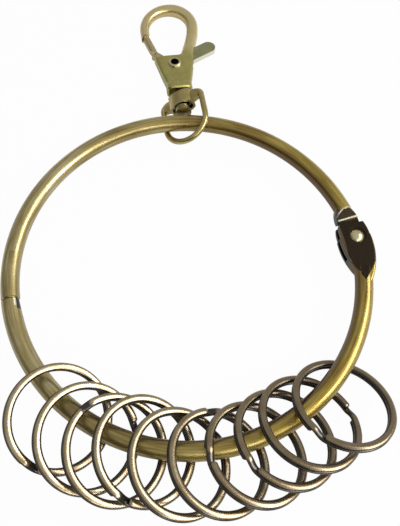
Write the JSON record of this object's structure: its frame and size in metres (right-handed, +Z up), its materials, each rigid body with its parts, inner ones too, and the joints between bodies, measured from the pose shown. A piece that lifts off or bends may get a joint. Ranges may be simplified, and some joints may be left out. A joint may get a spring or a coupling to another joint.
{
  "type": "hinged key hoop with split rings",
  "caption": "Hinged round-wire key hoop with a snap seam, split rings leaning along its lower half, and a swivel lobster clasp with a sprung trigger.",
  "frame": {"origin": "on the table under the centre of the hoop", "axes": "+Z up from the table, +Y towards the clasp, +X towards the hinge"},
  "size_m": [0.104, 0.1629, 0.0131],
  "materials": {
    "hoop_brass": "antique brass, brushed along the wire",
    "ring_brass": "antique brass, polished by wear",
    "clasp_brass": "antique brass, cast and tumbled",
    "rivet_brass": "bright worn brass",
    "spring_steel": "drawn spring wire"
  },
  "bodies": {
    "lower_half": {"lower_arc": "hoop_brass", "hinge_rivet": "rivet_brass"},
    "upper_half": {"upper_arc": "hoop_brass"},
    "eye": {"swivel_eye": "clasp_brass"},
    "clasp": {"clasp_body": "clasp_brass", "swivel_post": "rivet_brass", "trigger_eyelet": "rivet_brass", "trigger_spring": "spring_steel"},
    "trigger": {"trigger": "clasp_brass"},
    "split_ring_1": {"split_ring_1": "ring_brass"},
    "split_ring_2": {"split_ring_2": "ring_brass"},
    "split_ring_3": {"split_ring_3": "ring_brass"},
    "split_ring_4": {"split_ring_4": "ring_brass"},
    "split_ring_5": {"split_ring_5": "ring_brass"},
    "split_ring_6": {"split_ring_6": "ring_brass"},
    "split_ring_7": {"split_ring_7": "ring_brass"},
    "split_ring_8": {"split_ring_8": "ring_brass"},
    "split_ring_9": {"split_ring_9": "ring_brass"},
    "split_ring_10": {"split_ring_10": "ring_brass"}
  },
  "joints": [
    {"name": "hoop_hinge", "type": "hinge", "parent": "lower_half", "child": "upper_half", "pos_m": [0.04638, 0.01217, 0.00498], "axis": [0, 0, -1], "range_deg": [0, 90]},
    {"name": "eye_swing", "type": "hinge", "parent": "upper_half", "child": "eye", "pos_m": [-0.00416, 0.0475, 0.00498], "axis": [0.9962, 0.0872, 0], "range_deg": [0, 170]},
    {"name": "clasp_swivel", "type": "hinge", "parent": "eye", "child": "clasp", "pos_m": [-0.00655, 0.05854, 0.00434], "axis": [-0.1956, 0.979, -0.0582], "continuous": true},
    {"name": "trigger_press", "type": "hinge", "parent": "clasp", "child": "trigger", "pos_m": [-0.00934, 0.07071, 0.00361], "axis": [0.0126, -0.0568, -0.9983], "range_deg": [0, 25], "stiffness_Nm_per_rad": 0.02, "springref_deg": -22.92, "deforming": ["trigger_spring"]},
    {"name": "ring_1_slide_round", "type": "hinge", "parent": "lower_half", "child": "split_ring_1", "pos_m": [0, 0, 0.00498], "axis": [0, 0, 1], "range_deg": [-20, 12]},
    {"name": "ring_2_slide_round", "type": "hinge", "parent": "split_ring_1", "child": "split_ring_2", "pos_m": [0, 0, 0.00498], "axis": [0, 0, 1], "range_deg": [0, 1.2]},
    {"name": "ring_3_slide_round", "type": "hinge", "parent": "split_ring_2", "child": "split_ring_3", "pos_m": [0, 0, 0.00498], "axis": [0, 0, 1], "range_deg": [0, 1.2]},
    {"name": "ring_4_slide_round", "type": "hinge", "parent": "split_ring_3", "child": "split_ring_4", "pos_m": [0, 0, 0.00498], "axis": [0, 0, 1], "range_deg": [0, 1.2]},
    {"name": "ring_5_slide_round", "type": "hinge", "parent": "split_ring_4", "child": "split_ring_5", "pos_m": [0, 0, 0.00498], "axis": [0, 0, 1], "range_deg": [0, 1.2]},
    {"name": "ring_6_slide_round", "type": "hinge", "parent": "split_ring_5", "child": "split_ring_6", "pos_m": [0, 0, 0.00498], "axis": [0, 0, 1], "range_deg": [0, 1.2]},
    {"name": "ring_7_slide_round", "type": "hinge", "parent": "split_ring_6", "child": "split_ring_7", "pos_m": [0, 0, 0.00498], "axis": [0, 0, 1], "range_deg": [0, 1.2]},
    {"name": "ring_8_slide_round", "type": "hinge", "parent": "split_ring_7", "child": "split_ring_8", "pos_m": [0, 0, 0.00498], "axis": [0, 0, 1], "range_deg": [0, 1.2]},
    {"name": "ring_9_slide_round", "type": "hinge", "parent": "split_ring_8", "child": "split_ring_9", "pos_m": [0, 0, 0.00498], "axis": [0, 0, 1], "range_deg": [0, 1.2]},
    {"name": "ring_10_slide_round", "type": "hinge", "parent": "split_ring_9", "child": "split_ring_10", "pos_m": [0, 0, 0.00498], "axis": [0, 0, 1], "range_deg": [0, 1.2]}
  ]
}
